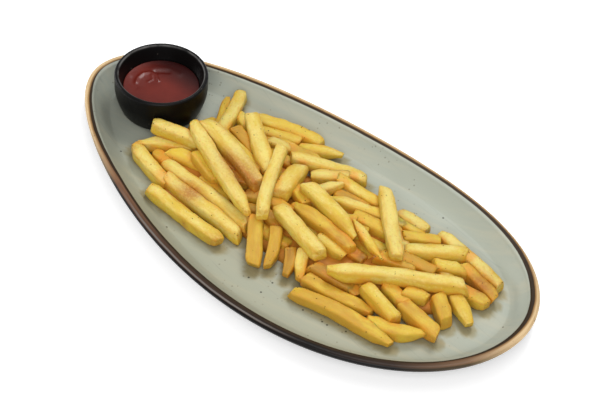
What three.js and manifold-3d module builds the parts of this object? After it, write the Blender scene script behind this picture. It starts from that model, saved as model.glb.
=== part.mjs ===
// A portion of french fries on a long stoneware dish, with a small pot of ketchup.
// Millimetres, +Z up. +X runs along the dish to its wide end, and +Y to its straighter side.
// The origin is on the table, under the middle of the dish.

import * as THREE from "three";
import { mergeVertices } from "three/addons/utils/BufferGeometryUtils.js";
import Module from "manifold-3d";

const wasm = await Module();
wasm.setup();

const GAP = 0.3; // air left between pieces that rest on each other

// Dish: a long oval, wider towards +X, with one side straighter than the other.
const DISH_HALF_LENGTH = 182.5;
const DISH_AXIS_Y = 12.9; // the long axis lies off the middle, because the -Y side bulges more
const FAR_SIDE = { middle: 78.2, slope: 12.2, swell: 14.2 }; // half width on the +Y side
const NEAR_SIDE = { middle: 103.6, slope: 20.8, swell: -8.6 }; // half width on the -Y side
const DISH_STEPS = 72; // points round the outline
const WELL_Z = 9; // flat eating surface
const WALL_WIDTH = 19; // from the rim's outer edge to the flat
const WALL_CURVE = 1.4; // above 1, the wall steepens towards the lip
const LIP_WIDTH = 6.5; // from the rim's outer edge to the top of the wall
const LIP_Z = 21.4; // highest point of the rim
const LIP_DROP = 0.9; // from the lip down to the top of the wall
const FOOT_INSET = 34;
const FOOT_WIDTH = 6;
const FOOT_SLOPE = 1.5; // how far each side of the foot ring leans out
const RECESS_Z = 3.2; // underside inside the foot ring

// Pot of ketchup, standing in the well at the narrow end.
const POT_X = -131;
const POT_Y = 20;
const POT_BASE_Z = WELL_Z + GAP;
const POT_HEIGHT = 30;
const POT_RADIUS = 32.2;
const POT_MOUTH_RADIUS = 29;
const POT_FLOOR = 4.5; // thickness under the ketchup
const POT_STEPS = 40;
const KETCHUP_BELOW_RIM = 11.8;
const KETCHUP_RADIUS = 26; // at its surface
const KETCHUP_CLIMB = 0.5; // how much higher it stands at the pot's wall
const CURL = { x: -6, y: 7, radius: 8, ridge: 1.5, hollow: 0.9 }; // left by the spoon

// Fries: square cut, and laid on low oval mounds that fill the middle of the heap.
const MOUNDS = [
  { x: 26, y: 4, heading: 4, halfLength: 110, halfWidth: 42, height: 11 },
  { x: -54, y: -9, heading: 6, halfLength: 50, halfWidth: 42, height: 6.5 },
];
const MOUND_STEPS = 32;
const FRY_CORNER = 0.6; // flat share of each side; the rest is the bevelled edge
const FRY_END = 0.8; // width of a square end, as a share of the fry's width
const FRY_SHOULDER = 0.7; // length of the narrowing at each end, in widths

// Each fry: [x, y, z] of both ends of its middle line, width, sideways bend, and how far each end
// narrows (1 is cut square, less is pointed). Lowest fries first.
const LOWEST_FRIES = [
  [[-92, 27, 14], [-44, 26, 14], 9, 0, 0.8, 0.9],
  [[-64, 38, 14], [-10, 49, 14], 9, 1, 0.8, 0.8],
  [[-12, 44, 14], [44, 35, 14], 9, -1, 0.9, 0.8],
  [[-42, 33, 14], [-14, 34, 14], 8.5, 0, 1, 1],
  [[2, 50, 14], [34, 24, 14], 8.5, 0, 1, 0.9],
  [[36, 43, 14], [104, 40, 14], 9, 1, 0.7, 0.9],
  [[62, 36, 14], [90, 20, 14], 9, 0, 0.9, 0.9],
  [[98, 36, 14], [134, 12, 14], 9, 0, 0.9, 0.8],
  [[-113, -22, 15], [-78, 1, 15], 9.5, 0, 0.5, 1],
  [[-99, -21, 13], [-72, -22, 13], 8, 0, 0.8, 1],
  [[-90, -16, 15], [-50, -6, 15], 10, 1, 0.7, 0.9],
  [[-113, -26, 14], [-72, -37, 14], 9.5, -1, 0.65, 0.8],
  [[-78, -48, 14], [-11, -52, 14], 9.5, 0, 0.8, 0.8],
  [[-77, -34, 15], [-5, -39, 14], 9.5, 0, 0.8, 0.85],
  [[-97, 52, 16], [-75, 14, 22], 7, 0, 0.5, 1],
  [[-93, 62, 17], [-72, 17, 24], 9, 0, 0.8, 1],
  [[-69, 49, 17], [-22, 64, 14.5], 9, 1, 0.9, 0.8],
  [[-30, 50, 14], [-5, 66, 14], 8, 0, 1, 0.4],
  [[56, 48, 15], [80.5, 49, 14], 9.8, 0, 0.8, 0.8],
  [[60, 46, 15], [68, 39, 15], 7, 0, 1, 1],
  [[89, 53, 15], [145, 42.5, 14], 9, 0, 0.7, 0.8],
  [[118, 39, 15], [148.5, 32, 14], 8.8, 0, 1, 0.8],
  [[129, 23, 14], [148, 24, 14], 9, 0, 1, 0.8],
  [[131, 13.5, 16], [149, 4, 14], 9.5, 0, 1, 0.6],
  [[121.5, 6.5, 16], [138, -4.5, 14], 11, 0, 1, 0.8],
  [[111, -14, 16], [141, -18.5, 15], 9.6, 0, 1, 0.85],
  [[99.5, -37, 14], [136, -19, 14], 9.3, -5, 0.7, 0.35],
  [[50, -51.5, 14], [123, -42, 14], 9, 2, 0.8, 0.5],
  [[50, -38.5, 15], [98, -31, 14], 9, -1, 1, 0.5],
];

const MIDDLE_FRIES = [
  [[-86, -24, 16], [-6, -30, 17], 9, 0, 0.75, 0.9],
  [[-111, -10, 25], [-77, 1, 22], 9.5, 0, 0.85, 1],
  [[-60, 41, 17], [-33, 55, 15], 8.5, 0, 1, 1],
  [[-48, 37, 18], [-33, 43, 17], 8, 0, 1, 0.8],
  [[-81, 44, 18], [-62, 34, 20], 8, 0, 0.8, 1],
  [[-68, 25, 24], [-42, 18, 22], 9, 0, 1, 1],
  [[-73, 15, 24], [-28, 7, 24], 9, 0, 1, 1],
  [[-24, -14, 20], [-14, -7, 20], 9, 0, 1, 1],
  [[-15, -20, 18], [-6, -14, 18], 8, 0, 1, 1],
  [[-5, -16, 18], [12, -18, 17], 9, 0, 1, 1],
  [[-23, 32, 23], [22.5, 58, 14.5], 8.8, 1, 0.8, 0.8],
  [[-4, 31.5, 19], [15, 50, 17], 9, 0, 0.8, 1],
  [[8, 19, 21], [17, 39, 21], 7.5, 0, 1, 0.5],
  [[15.5, 30.5, 17], [41, 36, 16], 8, 0, 1, 1],
  [[10.5, 41.5, 18], [44, 44, 16], 9, 0, 1, 0.9],
  [[17.5, 22.5, 21], [52.5, 35.5, 18], 7.5, 0, 0.4, 1],
  [[-3, -25, 22], [18, -52, 14], 10, 0, 0.9, 0.9],
  [[11.5, -23, 22], [26, -46, 14], 8.6, 1, 1, 0.7],
  [[28.5, -28, 18], [39, -44.5, 14], 8, 1, 1, 0.6],
  [[37.5, -25, 20], [46.5, -41, 14], 8.2, 0, 1, 0.6],
  [[37, -11, 20], [58, -9, 19], 9.5, 0, 0.9, 0.7],
  [[49, -2.5, 16], [69, -2.5, 16], 8.5, 0, 1, 1],
  [[-7.5, 14, 22], [13, 6, 22], 8, 0, 1, 1],
  [[48, -30, 18], [79, -24, 14], 9.5, 0, 1, 1],
  [[66, -21, 16], [83, -26, 14], 8, 0, 1, 1],
  [[58.5, 11.5, 16], [80.5, 16.5, 15], 9, 0, 1, 1],
  [[40, 21, 19], [70, 28, 17], 10, 0, 1, 1],
  [[73, 5, 20], [99, 14, 18], 9, 0, 1, 1],
  [[82, 13, 20], [109, 20, 18], 9, 0, 1, 1],
  [[73, 31.5, 17], [93.5, 46, 15], 8.2, 0, 1, 1],
  [[84, 21, 20], [115, 47.5, 17], 9.8, 0, 0.9, 0.9],
  [[104, 24, 18], [122, 36, 16], 9, 0, 1, 0.8],
  [[104, -6.5, 18], [118.5, 1, 16], 8.8, 0, 1, 0.8],
  [[91, -9.5, 18], [111, -12, 15], 9.5, 0, 1, 0.9],
  [[84, -21.5, 21], [114.5, -27.5, 16], 9.8, 0, 0.9, 1],
];

const UPPER_FRIES = [
  [[-8, -5, 20], [9, -6, 20], 9, 0, 1, 1],
  [[6, 4, 18], [36, -7, 16], 9, 0, 1, 1],
  [[-11, 28, 26], [-4, -2, 25], 11.5, 0, 0.85, 1],
  [[9.5, -1, 25], [60, -3.5, 22], 9.4, 0, 0.6, 0.7],
  [[5, 14, 29], [56.5, 3, 27], 10, 1, 0.9, 0.4],
  [[45, 14, 27], [79, 1, 23], 6, 0, 0.3, 0.2],
  [[5, -14, 29], [50, -24, 26], 10, 0, 0.8, 0.9],
  [[-84, 12, 30], [-18, -6, 28], 10, 1, 0.8, 0.9],
  [[-66, 40, 27], [-23, 8, 28], 11, 0, 0.85, 0.6],
  [[-88, 6, 29], [-8, -28, 27], 9.2, -1, 0.75, 0.5],
  [[42, 51, 24], [88, 6, 28], 9.5, 0, 0.8, 0.8],
  [[62, -32, 26], [132.5, 22, 21], 10, 2, 0.55, 1],
  [[-26, 26, 34.5], [3, -27, 31], 8.4, -2, 1, 0.9],
];

// ---------------------------------------------------------------- helpers

/**
 * A closed surface through rings of points, each anticlockwise seen from the last ring's side.
 * The first and last rings close onto a middle point.
 */
function closedLoft(rings, firstMiddle, lastMiddle) {
  const count = rings[0].length;
  const positions = [...rings.flat(), firstMiddle, lastMiddle].flat();
  const first = rings.length * count;
  const last = first + 1;
  const faces = [];
  for (let i = 0; i < count; i++) {
    const j = (i + 1) % count;
    faces.push(first, j, i);
    for (let k = 0; k + 1 < rings.length; k++) {
      const a = k * count;
      const b = a + count;
      faces.push(a + i, a + j, b + j, a + i, b + j, b + i);
    }
    const end = (rings.length - 1) * count;
    faces.push(last, end + i, end + j);
  }
  const geometry = new THREE.BufferGeometry();
  geometry.setAttribute("position", new THREE.Float32BufferAttribute(positions, 3));
  geometry.setIndex(faces);
  return geometry;
}

function toSolid(geometry) {
  const bare = geometry.clone();
  bare.deleteAttribute("normal");
  bare.deleteAttribute("uv");
  const merged = mergeVertices(bare, 1e-4);
  const vertProperties = new Float32Array(merged.attributes.position.array);
  const triVerts = new Uint32Array(merged.index.array);
  return new wasm.Manifold(new wasm.Mesh({ numProp: 3, vertProperties, triVerts }));
}

function toGeometry(solid) {
  const mesh = solid.getMesh();
  const geometry = new THREE.BufferGeometry();
  geometry.setAttribute("position", new THREE.BufferAttribute(mesh.vertProperties, 3));
  geometry.setIndex(new THREE.BufferAttribute(mesh.triVerts, 1));
  return geometry;
}

/** The same surface without the faces whose corners fall together, as they do on a lathe's axis. */
function withoutEmptyFaces(geometry) {
  const corners = Array.from(geometry.index.array);
  const faces = [];
  for (let i = 0; i < corners.length; i += 3) {
    const [a, b, c] = corners.slice(i, i + 3);
    if (a !== b && b !== c && c !== a) {
      faces.push(a, b, c);
    }
  }
  geometry.setIndex(faces);
  return geometry;
}

/** The largest body of a solid, without loose scraps and with sealed hollows filled. */
function largestBody(solid) {
  const bodies = solid.decompose();
  return bodies.reduce((best, body) => (body.volume() > best.volume() ? body : best));
}

function namedMesh(name, geometry, look) {
  geometry.computeVertexNormals();
  const mesh = new THREE.Mesh(geometry, new THREE.MeshStandardMaterial(look));
  mesh.name = name;
  return mesh;
}

// ---------------------------------------------------------------- dish

/** Ring of the dish's outline, moved in by inset, at height z. */
function dishRing(inset, z) {
  const ring = [];
  for (let i = 0; i < DISH_STEPS; i++) {
    const turn = (i / DISH_STEPS) * 2 * Math.PI;
    const c = Math.cos(turn);
    const s = Math.sin(turn);
    const { middle, slope, swell } = s >= 0 ? FAR_SIDE : NEAR_SIDE;
    const halfWidth = middle + slope * c + swell * c * c - inset;
    ring.push([(DISH_HALF_LENGTH - inset) * c, DISH_AXIS_Y + halfWidth * s, z]);
  }
  return ring;
}

/** Height of the eating surface at a distance in from the rim's outer edge. */
function wallZ(inset) {
  const rise = (WALL_WIDTH - inset) / (WALL_WIDTH - LIP_WIDTH);
  return WELL_Z + (LIP_Z - LIP_DROP - WELL_Z) * rise ** WALL_CURVE;
}

/** Inset and height of the dish's outside, from its recess over the foot ring to its lip. */
const DISH_OUTSIDE = [
  [FOOT_INSET + FOOT_WIDTH + FOOT_SLOPE, RECESS_Z],
  [FOOT_INSET + FOOT_WIDTH, 0],
  [FOOT_INSET, 0],
  [FOOT_INSET - FOOT_SLOPE, 2.6],
  [28, 3.4],
  [17, 6],
  [8, 11.2],
  [1, LIP_Z - 4],
  [0, LIP_Z - 2],
  [0.7, LIP_Z - 0.5],
  [2.2, LIP_Z],
  [4.2, LIP_Z - 0.3],
];

/** Insets of the rings down the wall, from the lip to the edge of the flat. */
const WALL_INSETS = [LIP_WIDTH, 9, 12, 15, WALL_WIDTH];

/** The eating surface's wall as rings raised by lift. */
function wallRings(lift) {
  return WALL_INSETS.map((inset) => dishRing(inset, wallZ(inset) + lift));
}

function makeDish() {
  const rings = [...DISH_OUTSIDE.map(([inset, z]) => dishRing(inset, z)), ...wallRings(0)];
  const look = { color: 0xb9bbae, roughness: 0.32, metalness: 0 };
  const wellMiddle = [0, DISH_AXIS_Y, WELL_Z];
  const recessMiddle = [0, DISH_AXIS_Y, RECESS_Z];
  return namedMesh("plate", closedLoft(rings, recessMiddle, wellMiddle), look);
}

/** Everything above the eating surface, which the food is trimmed to. */
function spaceAboveDish() {
  const ceiling = 90;
  const rings = [...wallRings(GAP).reverse(), dishRing(WALL_INSETS[0], ceiling)];
  return toSolid(closedLoft(rings, [0, DISH_AXIS_Y, WELL_Z + GAP], [0, DISH_AXIS_Y, ceiling]));
}

// ---------------------------------------------------------------- pot and ketchup

/** Radius and height above its base of the pot's outside, from its foot to its rim. */
const POT_OUTSIDE = [
  [24.5, 0],
  [27.4, 1.6],
  [29.2, 5.5],
  [30.9, 11],
  [32, 17],
  [32.1, 24],
  [POT_RADIUS, 28.6],
  [POT_RADIUS - 0.6, 29.6],
];

/** The same for the pot's inside above the ketchup, from its rim down. */
const POT_MOUTH = [
  [POT_MOUTH_RADIUS + 0.7, 29.6],
  [POT_MOUTH_RADIUS, 28.6],
  [27.6, 24],
  [KETCHUP_RADIUS + GAP, 18.2],
];

/** The same for the pot's inside that holds the ketchup, from its floor up. */
const POT_BOWL = [
  [14, POT_FLOOR],
  [18, 5],
  [22.5, 7.5],
  [25.3, 13],
];

function lathe(profile, steps) {
  const geometry = new THREE.LatheGeometry(profile.map(([r, z]) => new THREE.Vector2(r, z)), steps);
  geometry.rotateX(Math.PI / 2);
  geometry.deleteAttribute("normal");
  geometry.deleteAttribute("uv");
  return withoutEmptyFaces(mergeVertices(geometry, 1e-4));
}

function makePot() {
  const rimTop = [(POT_RADIUS + POT_MOUTH_RADIUS) / 2, POT_HEIGHT];
  const inside = [...POT_MOUTH, ...POT_BOWL.toReversed(), [0, POT_FLOOR]];
  const profile = [[0, 0], ...POT_OUTSIDE, rimTop, ...inside];
  const look = { color: 0x17181a, roughness: 0.45, metalness: 0 };
  const mesh = namedMesh("dip_pot", lathe(profile, POT_STEPS), look);
  mesh.position.set(POT_X, POT_Y, POT_BASE_Z);
  return mesh;
}

/** The pot as a solid with a skin of air, for trimming the food that leans on it. */
function potWithAir() {
  const outside = POT_OUTSIDE.map(([r, z]) => [r + GAP, z]);
  const below = -2 * GAP;
  const foot = POT_OUTSIDE[0][0];
  const geometry = lathe([[0, below], [foot, below], ...outside, [0, POT_HEIGHT]], POT_STEPS);
  return toSolid(geometry.translate(POT_X, POT_Y, POT_BASE_Z));
}

/** A bell curve: 1 in its middle, and falling away over the width. */
function bell(distance, width) {
  return Math.exp(-((distance / width) ** 2));
}

/** Relief of the spooned ketchup: a curled ridge round a hollow, strongest on its +X side. */
function ketchupRelief(x, y) {
  const reach = Math.hypot(x - CURL.x, y - CURL.y);
  const ridge = CURL.ridge * bell(reach - CURL.radius, 2.4);
  const hollow = CURL.hollow * bell(reach, 5);
  return bell(x, 14) * (ridge - hollow);
}

function makeKetchup() {
  const surface = POT_HEIGHT - KETCHUP_BELOW_RIM;
  const steps = 40;
  const ringAt = (radius, z) => {
    const ring = [];
    for (let i = 0; i < steps; i++) {
      const turn = (i / steps) * 2 * Math.PI;
      const x = radius * Math.cos(turn);
      const y = radius * Math.sin(turn);
      ring.push([x, y, z(x, y)]);
    }
    return ring;
  };
  const rings = POT_BOWL.map(([radius, z]) => ringAt(radius - GAP, () => z + GAP));
  for (const share of [1, 0.95, 0.88, 0.8, 0.7, 0.6, 0.5, 0.4, 0.3, 0.2, 0.1]) {
    const level = surface + KETCHUP_CLIMB * share ** 4;
    const calm = 1 - share ** 6; // the relief dies away at the wall
    rings.push(ringAt(KETCHUP_RADIUS * share, (x, y) => level + calm * ketchupRelief(x, y)));
  }
  const top = [0, 0, surface + ketchupRelief(0, 0)];
  const geometry = closedLoft(rings, [0, 0, POT_FLOOR + GAP], top);
  const look = { color: 0x5e0f0b, roughness: 0.25, metalness: 0 };
  const mesh = namedMesh("ketchup", geometry, look);
  mesh.position.set(POT_X, POT_Y, POT_BASE_Z);
  return mesh;
}

// ---------------------------------------------------------------- fries

/** One fry: a bevelled square bar along a slightly bent line, narrowed at its ends. */
function fry([from, to, width, bend, tipFrom, tipTo]) {
  const start = new THREE.Vector3(...from);
  const along = new THREE.Vector3(...to).sub(start);
  const length = along.length();
  const side = new THREE.Vector3(-along.y, along.x, 0).normalize();
  const up = new THREE.Vector3().crossVectors(along, side).normalize();
  const shoulder = Math.min(0.25, (FRY_SHOULDER * width) / length);
  const ringAt = (share, scale) => {
    const middle = start.clone().addScaledVector(along, share);
    middle.addScaledVector(side, 4 * bend * share * (1 - share));
    const r = (scale * width) / 2;
    const e = r * FRY_CORNER;
    const section = [[r, -e], [r, e], [e, r], [-e, r], [-r, e], [-r, -e], [-e, -r], [e, -r]];
    return section.map(([s, u]) => {
      return middle.clone().addScaledVector(side, s).addScaledVector(up, u).toArray();
    });
  };
  const rings = [ringAt(0, FRY_END * tipFrom), ringAt(shoulder, 1)];
  if (bend !== 0) {
    rings.push(ringAt(0.5, 1));
  }
  rings.push(ringAt(1 - shoulder, 1), ringAt(1, FRY_END * tipTo));
  return toSolid(closedLoft(rings, from, to));
}

/** A low oval mound, which stands for the fries that don't show. */
function mound({ x, y, heading, halfLength, halfWidth, height }) {
  const turn = THREE.MathUtils.degToRad(heading);
  const ringAt = (share, z) => {
    const ring = [];
    for (let i = 0; i < MOUND_STEPS; i++) {
      const angle = (i / MOUND_STEPS) * 2 * Math.PI;
      const along = share * halfLength * Math.cos(angle);
      const across = share * halfWidth * Math.sin(angle);
      const ringX = x + along * Math.cos(turn) - across * Math.sin(turn);
      ring.push([ringX, y + along * Math.sin(turn) + across * Math.cos(turn), z]);
    }
    return ring;
  };
  const bottom = WELL_Z - 1; // trimmed to the dish later
  const top = WELL_Z + height;
  const rings = [ringAt(1, bottom)];
  for (const [share, rise] of [[0.93, 0.3], [0.7, 0.75], [0.45, 1]]) {
    rings.push(ringAt(share, WELL_Z + rise * height));
  }
  return toSolid(closedLoft(rings, [x, y, bottom], [x, y, top]));
}

function makeFries() {
  const rows = [...LOWEST_FRIES, ...MIDDLE_FRIES, ...UPPER_FRIES];
  const pieces = [...MOUNDS.map(mound), ...rows.map(fry)];
  const untrimmed = pieces.reduce((joined, piece) => joined.add(piece));
  const heap = untrimmed.intersect(spaceAboveDish()).subtract(potWithAir());
  const look = { color: 0xe2b95a, roughness: 0.6, metalness: 0 };
  return namedMesh("fries", toGeometry(largestBody(heap)), look);
}

// ---------------------------------------------------------------- the whole portion

const portion = new THREE.Group();
portion.add(makeDish(), makePot(), makeKetchup(), makeFries());

export default portion;
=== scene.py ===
# The looks of a portion of french fries on a long stoneware dish, with a small pot of ketchup.
# Sizes are in millimetres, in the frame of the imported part, until new_piece() makes them metres.
import math
from collections import namedtuple

import bpy
import numpy as np
from mathutils import Matrix, Vector


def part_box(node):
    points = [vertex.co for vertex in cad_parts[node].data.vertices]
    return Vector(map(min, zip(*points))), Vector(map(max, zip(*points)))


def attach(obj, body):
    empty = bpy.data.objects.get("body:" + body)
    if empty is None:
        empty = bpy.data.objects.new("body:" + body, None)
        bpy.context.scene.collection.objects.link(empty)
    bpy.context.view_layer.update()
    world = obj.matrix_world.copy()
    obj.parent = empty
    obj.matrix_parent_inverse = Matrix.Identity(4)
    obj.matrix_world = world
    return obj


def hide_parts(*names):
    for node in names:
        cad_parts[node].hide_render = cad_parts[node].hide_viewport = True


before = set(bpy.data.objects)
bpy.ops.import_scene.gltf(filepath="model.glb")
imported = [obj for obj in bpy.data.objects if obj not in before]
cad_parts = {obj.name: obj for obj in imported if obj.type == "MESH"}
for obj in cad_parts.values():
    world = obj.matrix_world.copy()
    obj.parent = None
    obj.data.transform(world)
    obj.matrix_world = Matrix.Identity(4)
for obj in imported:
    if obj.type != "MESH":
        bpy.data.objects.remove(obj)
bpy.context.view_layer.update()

MM = 0.001
SEED = 7

# Camera, on the photograph's line of sight.
CAMERA_TARGET = (-6.8, 24.6, 0.0)
CAMERA_AZIMUTH = 37.0
CAMERA_ELEVATION = 45.3
CAMERA_ROLL = 5.0  # clockwise
CAMERA_DISTANCE = 1250.0
CAMERA_LENS = 111.6  # on a sensor 36 mm wide

# Dish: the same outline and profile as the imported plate, with finer steps.
DISH_HALF_LENGTH = 182.5
DISH_AXIS_Y = 12.9
FAR_SIDE = (78.2, 12.2, 14.2)  # half width on the +Y side: middle, slope and swell
NEAR_SIDE = (103.6, 20.8, -8.6)
WELL_Z = 9.0
WALL_WIDTH = 19.0
WALL_CURVE = 1.4
LIP_WIDTH = 6.5
LIP_Z = 21.4
LIP_DROP = 0.9
DISH_STEPS = 360
UNDERSIDE_Z = 3.2
# Inset from the outline and height: of the outside from the underside's middle, and then of the lip.
DISH_OUTSIDE = ((41.5, UNDERSIDE_Z), (40, 0), (34, 0), (32.5, 2.6), (28, 3.4), (17, 6), (8, 11.2))
DISH_LIP = ((1, LIP_Z - 4), (0, LIP_Z - 2), (0.7, LIP_Z - 0.5), (2.2, LIP_Z), (4.2, LIP_Z - 0.3))
WALL_INSETS = (LIP_WIDTH, 8, 10, 12, 14, 16, 18, WALL_WIDTH)
WELL_INSETS = np.arange(22, 68, 2.5)
# The lip every 20 degrees round the dish, from +X: how gold it is, how brown it is where it isn't
# gold, and how far over the lip, from the outline, the gold or brown and then the dark band end.
GOLD_SHARE = (1, 1, 1, 1, 1, 1, 1, 1, 1, 1, 1, 0.9, 0, 0, 0, 0, 0, 0.1, 1)
BROWN_SHARE = (1, 1, 1, 1, 1, 1, 1, 1, 1, 1, 1, 1, 1, 0.35, 0.15, 0, 0.15, 0.7, 1)
GOLD_END = (5.4, 4.6, 3.4, 3.6, 4.3, 4.4, 5, 5, 5.2, 5.4, 4.8, 3.6, 6, 6, 5, 5, 6, 6.6, 5.4)
DARK_END = (8.2, 7.8, 6.4, 5.9, 6.4, 6.6, 7, 6.6, 6.2, 5.8, 6.6, 6.2, 8.1, 8.2, 8, 8.2, 9, 9, 8.2)
CREST_HIGHLIGHT_FADES = ((236, 256), (282, 300))  # turns over which a painted highlight along the lip's crest comes and goes
STROKE_HEADING = -9.0  # of the brush strokes in the glaze, from the long axis
SPECK_RADIUS = 0.9
SHADOW_CASTERS_BELOW = 20  # fries lower than this cast a painted contact shadow on the well
CONTACT_SHADOW_SHIFT = (0.5, -0.5)  # of the painted contact shadow from the fries that cast it, towards the camera
CONTACT_SHADOW_REACH = 2.0
PLATE_SPECKS = (
    (-119, -32), (-111, -45), (-48, -62), (-21, 74), (20, -58), (34, -51), (34, -62), (34, 83),
    (63, -55), (78, -54), (82, -54), (94, -50), (78, 71), (101, 84), (114, 70), (164, 21),
)

# Fries.
FRY_SIDES = 24
FRY_RING_STEP = 2.2
NEAR_END_RINGS = (0.0, 0.02, 0.06, 0.12, 0.22, 0.38)  # from each end, as shares of the width
CAP_RINGS = (0.4, 0.75)  # on each end's face, as shares of its last ring
RIPPLES = ((70, 0.03), (30, 0.022), (13, 0.014), (6, 0.008))  # length, and height as a share
SIDE_SHADE = 0.3  # painted shade: how much deeper the sides and underside are than the top
TUCK_LIMIT = 12.0
TUCK_STEP = 1.5
BEAD_STEP = 4.0
UNDER_BY = 3.0
UNDER_WITHIN = 0.9  # of a bead's radius
UPWARD = np.array([0.0, 0.0, 1.0])
SIGHT = np.array([0.42, -0.56, 0.71])  # about the way to the camera
FILLING_LEVELS = ((14.0, 0.95), (21.0, 0.7))  # height, and the share of a mound that they fill
FILLING_TRIES = 4000
FILLING_HALF_LENGTHS = (12, 30)
FILLING_WIDTHS = (8, 9.5)
# A fry is covered where this share of its beads has a bead within reach to the side and this far up.
COVER_REACH = 9.0
COVER_RISE = 4.0
COVERED_SHARE = 0.8

# Flakes of dried herb and pepper.
FLAKES = 260
FLAKE_CORNERS = 6
FLAKE_LENGTHS = (0.5, 1.3)
FLAKE_WIDTH = 0.6  # as a share of its length
FLAKE_THICKNESS = 0.18
FLAKE_FACING = 0.35  # how much a face that holds one looks up

# Studio.
SKY_STRENGTH = 0.36
FLOOR_GLOW = 0.36
FLOOR_METRES = 12

Fry = namedtuple("Fry", "start end width bend tip_start tip_end tone roll")
Mound = namedtuple("Mound", "x y heading half_length half_width height")


def fry_rows(*rows):
    """Fries from rows of both ends of the middle line, width, sideways bend, how far each end
    narrows, tone from pale to deep gold, past about 1.1 partly painted shade, and roll in degrees."""
    return [Fry(row[0:3], row[3:6], *row[6:12]) for row in rows]


LOWEST_FRIES = fry_rows(
    (-92, 27, 14, -44, 26, 14, 9, 0, 0.8, 0.9, 0.6, 0),
    (-64, 38, 14, -10, 49, 14, 9, 1, 0.8, 0.8, 0.6, 8),
    (-12, 44, 14, 44, 35, 14, 9, -1, 0.9, 0.8, 0.1, 0),
    (-42, 33, 14, -14, 34, 14, 8.5, 0, 1, 1, 1, 0),
    (2, 50, 14, 34, 24, 14, 8.5, 0, 1, 0.9, 0.1, 5),
    (36, 43, 14, 104, 40, 14, 9, 1, 0.7, 0.9, 0.5, 0),
    (62, 36, 14, 90, 20, 14, 9, 0, 0.9, 0.9, 0.2, 0),
    (98, 36, 14, 134, 12, 14, 9, 0, 0.9, 0.8, 0.3, 0),
    (-113, -22, 15, -78, 1, 15, 9.5, 0, 0.5, 1, 0.25, 0),
    (-99, -21, 13, -72, -22, 13, 8, 0, 0.8, 1, 1.3, 0),
    (-90, -16, 15, -50, -6, 15, 10, 1, 0.7, 0.9, 0.6, 10),
    (-113, -26, 14, -72, -37, 14, 9.5, -1, 0.65, 0.8, 0.15, 0),
    (-78, -48, 14, -11, -52, 14, 9.5, 0, 0.8, 0.8, 0.35, 0),
    (-77, -34, 15, -5, -39, 14, 9.5, 0, 0.8, 0.85, 0.2, 0),
    (-97, 52, 16, -75, 14, 22, 7, 0, 0.5, 1, 0.9, 0),
    (-93, 62, 17, -72, 17, 24, 9, 0, 0.8, 1, 0.15, 0),
    (-69, 49, 17, -22, 64, 14.5, 9, 1, 0.9, 0.8, 0.55, 0),
    (-30, 50, 14, -5, 66, 14, 8, 0, 1, 0.4, 0.35, 0),
    (56, 48, 15, 80.5, 49, 14, 9.8, 0, 0.8, 0.8, 0.0, 0),
    (60, 46, 15, 68, 39, 15, 7, 0, 1, 1, 0.2, 0),
    (89, 53, 15, 145, 42.5, 14, 9, 0, 0.7, 0.8, 0.2, 0),
    (118, 39, 15, 148.5, 32, 14, 8.8, 0, 1, 0.8, 0.8, 0),
    (129, 23, 14, 148, 24, 14, 9, 0, 1, 0.8, 0.55, 0),
    (131, 13.5, 16, 149, 4, 14, 9.5, 0, 1, 0.6, 0.35, 0),
    (121.5, 6.5, 16, 138, -4.5, 14, 11, 0, 1, 0.8, 0.95, 0),
    (111, -14, 16, 141, -18.5, 15, 9.6, 0, 1, 0.85, 0.9, 0),
    (99.5, -37, 14, 136, -19, 14, 9.3, -5, 0.7, 0.35, 0.6, 0),
    (50, -51.5, 14, 123, -42, 14, 9, 2, 0.8, 0.5, 0.95, 0),
    (50, -38.5, 15, 98, -31, 14, 9, -1, 1, 0.5, 0.95, 0),
)

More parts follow.
